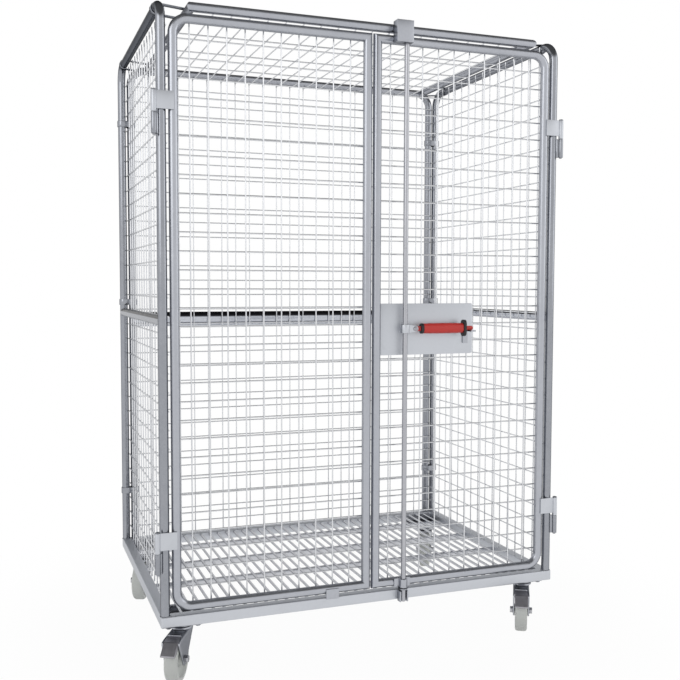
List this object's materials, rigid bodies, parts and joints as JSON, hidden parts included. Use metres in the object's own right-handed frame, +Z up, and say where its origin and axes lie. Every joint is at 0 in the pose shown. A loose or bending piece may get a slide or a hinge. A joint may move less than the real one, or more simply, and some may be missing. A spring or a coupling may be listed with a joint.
{
  "type": "roll container",
  "caption": "Zinc-plated wire mesh roll container with hinged double doors, a turning lock bar with a red handle, a wire roof and floor, and swivel casters.",
  "frame": {"origin": "on the floor, under the middle of the whole object", "axes": "+Z up, front with the doors towards -Y, +X to the right seen from the front"},
  "size_m": [1.23, 0.8882, 1.8021],
  "materials": {
    "zinc": "bright zinc plated",
    "dark_zinc": "dark zinc plated",
    "red_paint": "gloss red",
    "red_plastic": "satin red",
    "black_plastic": "black",
    "grey_plastic": "light grey"
  },
  "bodies": {
    "cage": {"base_frame": "zinc", "corner_plates": "zinc", "floor_wires": "zinc", "floor_cross_bars": "zinc", "caster_plates": "zinc", "caster_bolts": "zinc", "left_side_frame": "zinc", "right_side_frame": "zinc", "left_mid_rail": "dark_zinc", "right_mid_rail": "dark_zinc", "left_mesh": "zinc", "right_mesh": "zinc", "left_hinge_lugs": "zinc", "right_hinge_lugs": "zinc", "hinge_pins": "zinc", "back_frame": "zinc", "back_mid_rail": "dark_zinc", "back_mesh": "zinc", "roof_frame": "zinc", "roof_mesh": "zinc", "panel_clamps": "zinc", "roof_clamps": "zinc", "top_keeper": "zinc", "bottom_keeper": "zinc"},
    "left_door": {"left_door_frame": "zinc", "left_door_mesh": "zinc", "left_hinge_leaves": "zinc", "left_door_stop": "zinc"},
    "right_door": {"right_door_frame": "zinc", "right_door_mesh": "zinc", "right_hinge_leaves": "zinc", "lock_plate": "zinc", "top_bar_guide": "zinc", "bottom_bar_guide": "zinc", "handle_seat": "zinc"},
    "lock_bar": {"lock_bar": "zinc", "top_cam": "zinc", "bottom_cam": "zinc", "handle_clevis": "zinc", "handle_pin": "dark_zinc"},
    "handle": {"handle_lever": "red_paint", "handle_grip": "red_plastic", "grip_collars": "black_plastic"},
    "front_left_swivel": {"front_left_fork": "zinc", "front_left_axle": "zinc"},
    "front_left_wheel": {"front_left_wheel": "grey_plastic"},
    "front_left_pedal": {"front_left_brake_pedal": "dark_zinc"},
    "front_right_swivel": {"front_right_fork": "zinc", "front_right_axle": "zinc"},
    "front_right_wheel": {"front_right_wheel": "grey_plastic"},
    "front_right_pedal": {"front_right_brake_pedal": "dark_zinc"},
    "rear_left_swivel": {"rear_left_fork": "zinc", "rear_left_axle": "zinc"},
    "rear_left_wheel": {"rear_left_wheel": "grey_plastic"},
    "rear_right_swivel": {"rear_right_fork": "zinc", "rear_right_axle": "zinc"},
    "rear_right_wheel": {"rear_right_wheel": "grey_plastic"}
  },
  "joints": [
    {"name": "left_door_hinge", "type": "hinge", "parent": "cage", "child": "left_door", "pos_m": [-0.608, -0.37998, 0.9925], "axis": [0, 0, -1], "range_deg": [0, 270]},
    {"name": "right_door_hinge", "type": "hinge", "parent": "cage", "child": "right_door", "pos_m": [0.608, -0.37998, 0.9925], "axis": [0, 0, 1], "range_deg": [0, 240]},
    {"name": "lock_bar_turn", "type": "hinge", "parent": "right_door", "child": "lock_bar", "pos_m": [0.094, -0.38998, 0.941], "axis": [0, 0, -1], "range_deg": [0, 90]},
    {"name": "handle_lift", "type": "hinge", "parent": "lock_bar", "child": "handle", "pos_m": [0.123, -0.38998, 0.941], "axis": [0, -1, 0], "range_deg": [0, 30]},
    {"name": "front_left_caster_swivel", "type": "hinge", "parent": "cage", "child": "front_left_swivel", "pos_m": [-0.535, -0.31298, 0.146], "axis": [0, 0, 1], "continuous": true},
    {"name": "front_left_wheel_roll", "type": "hinge", "parent": "front_left_swivel", "child": "front_left_wheel", "pos_m": [-0.55679, -0.35574, 0.0625], "axis": [0.891, -0.454, 0], "continuous": true},
    {"name": "front_left_pedal_press", "type": "hinge", "parent": "front_left_swivel", "child": "front_left_pedal", "pos_m": [-0.57824, -0.39784, 0.1188], "axis": [0.891, -0.454, 0], "range_deg": [0, 15]},
    {"name": "front_right_caster_swivel", "type": "hinge", "parent": "cage", "child": "front_right_swivel", "pos_m": [0.535, -0.31298, 0.146], "axis": [0, 0, 1], "continuous": true},
    {"name": "front_right_wheel_roll", "type": "hinge", "parent": "front_right_swivel", "child": "front_right_wheel", "pos_m": [0.51028, -0.35412, 0.0625], "axis": [0.8572, -0.515, 0], "continuous": true},
    {"name": "front_right_pedal_press", "type": "hinge", "parent": "front_right_swivel", "child": "front_right_pedal", "pos_m": [0.48595, -0.39462, 0.1188], "axis": [0.8572, -0.515, 0], "range_deg": [0, 15]},
    {"name": "rear_left_caster_swivel", "type": "hinge", "parent": "cage", "child": "rear_left_swivel", "pos_m": [-0.535, 0.37702, 0.146], "axis": [0, 0, 1], "continuous": true},
    {"name": "rear_left_wheel_roll", "type": "hinge", "parent": "rear_left_swivel", "child": "rear_left_wheel", "pos_m": [-0.55298, 0.33252, 0.0625], "axis": [0.9272, -0.3746, 0], "continuous": true},
    {"name": "rear_right_caster_swivel", "type": "hinge", "parent": "cage", "child": "rear_right_swivel", "pos_m": [0.535, 0.37702, 0.146], "axis": [0, 0, 1], "continuous": true},
    {"name": "rear_right_wheel_roll", "type": "hinge", "parent": "rear_right_swivel", "child": "rear_right_wheel", "pos_m": [0.51246, 0.33464, 0.0625], "axis": [0.8829, -0.4695, 0], "continuous": true}
  ]
}
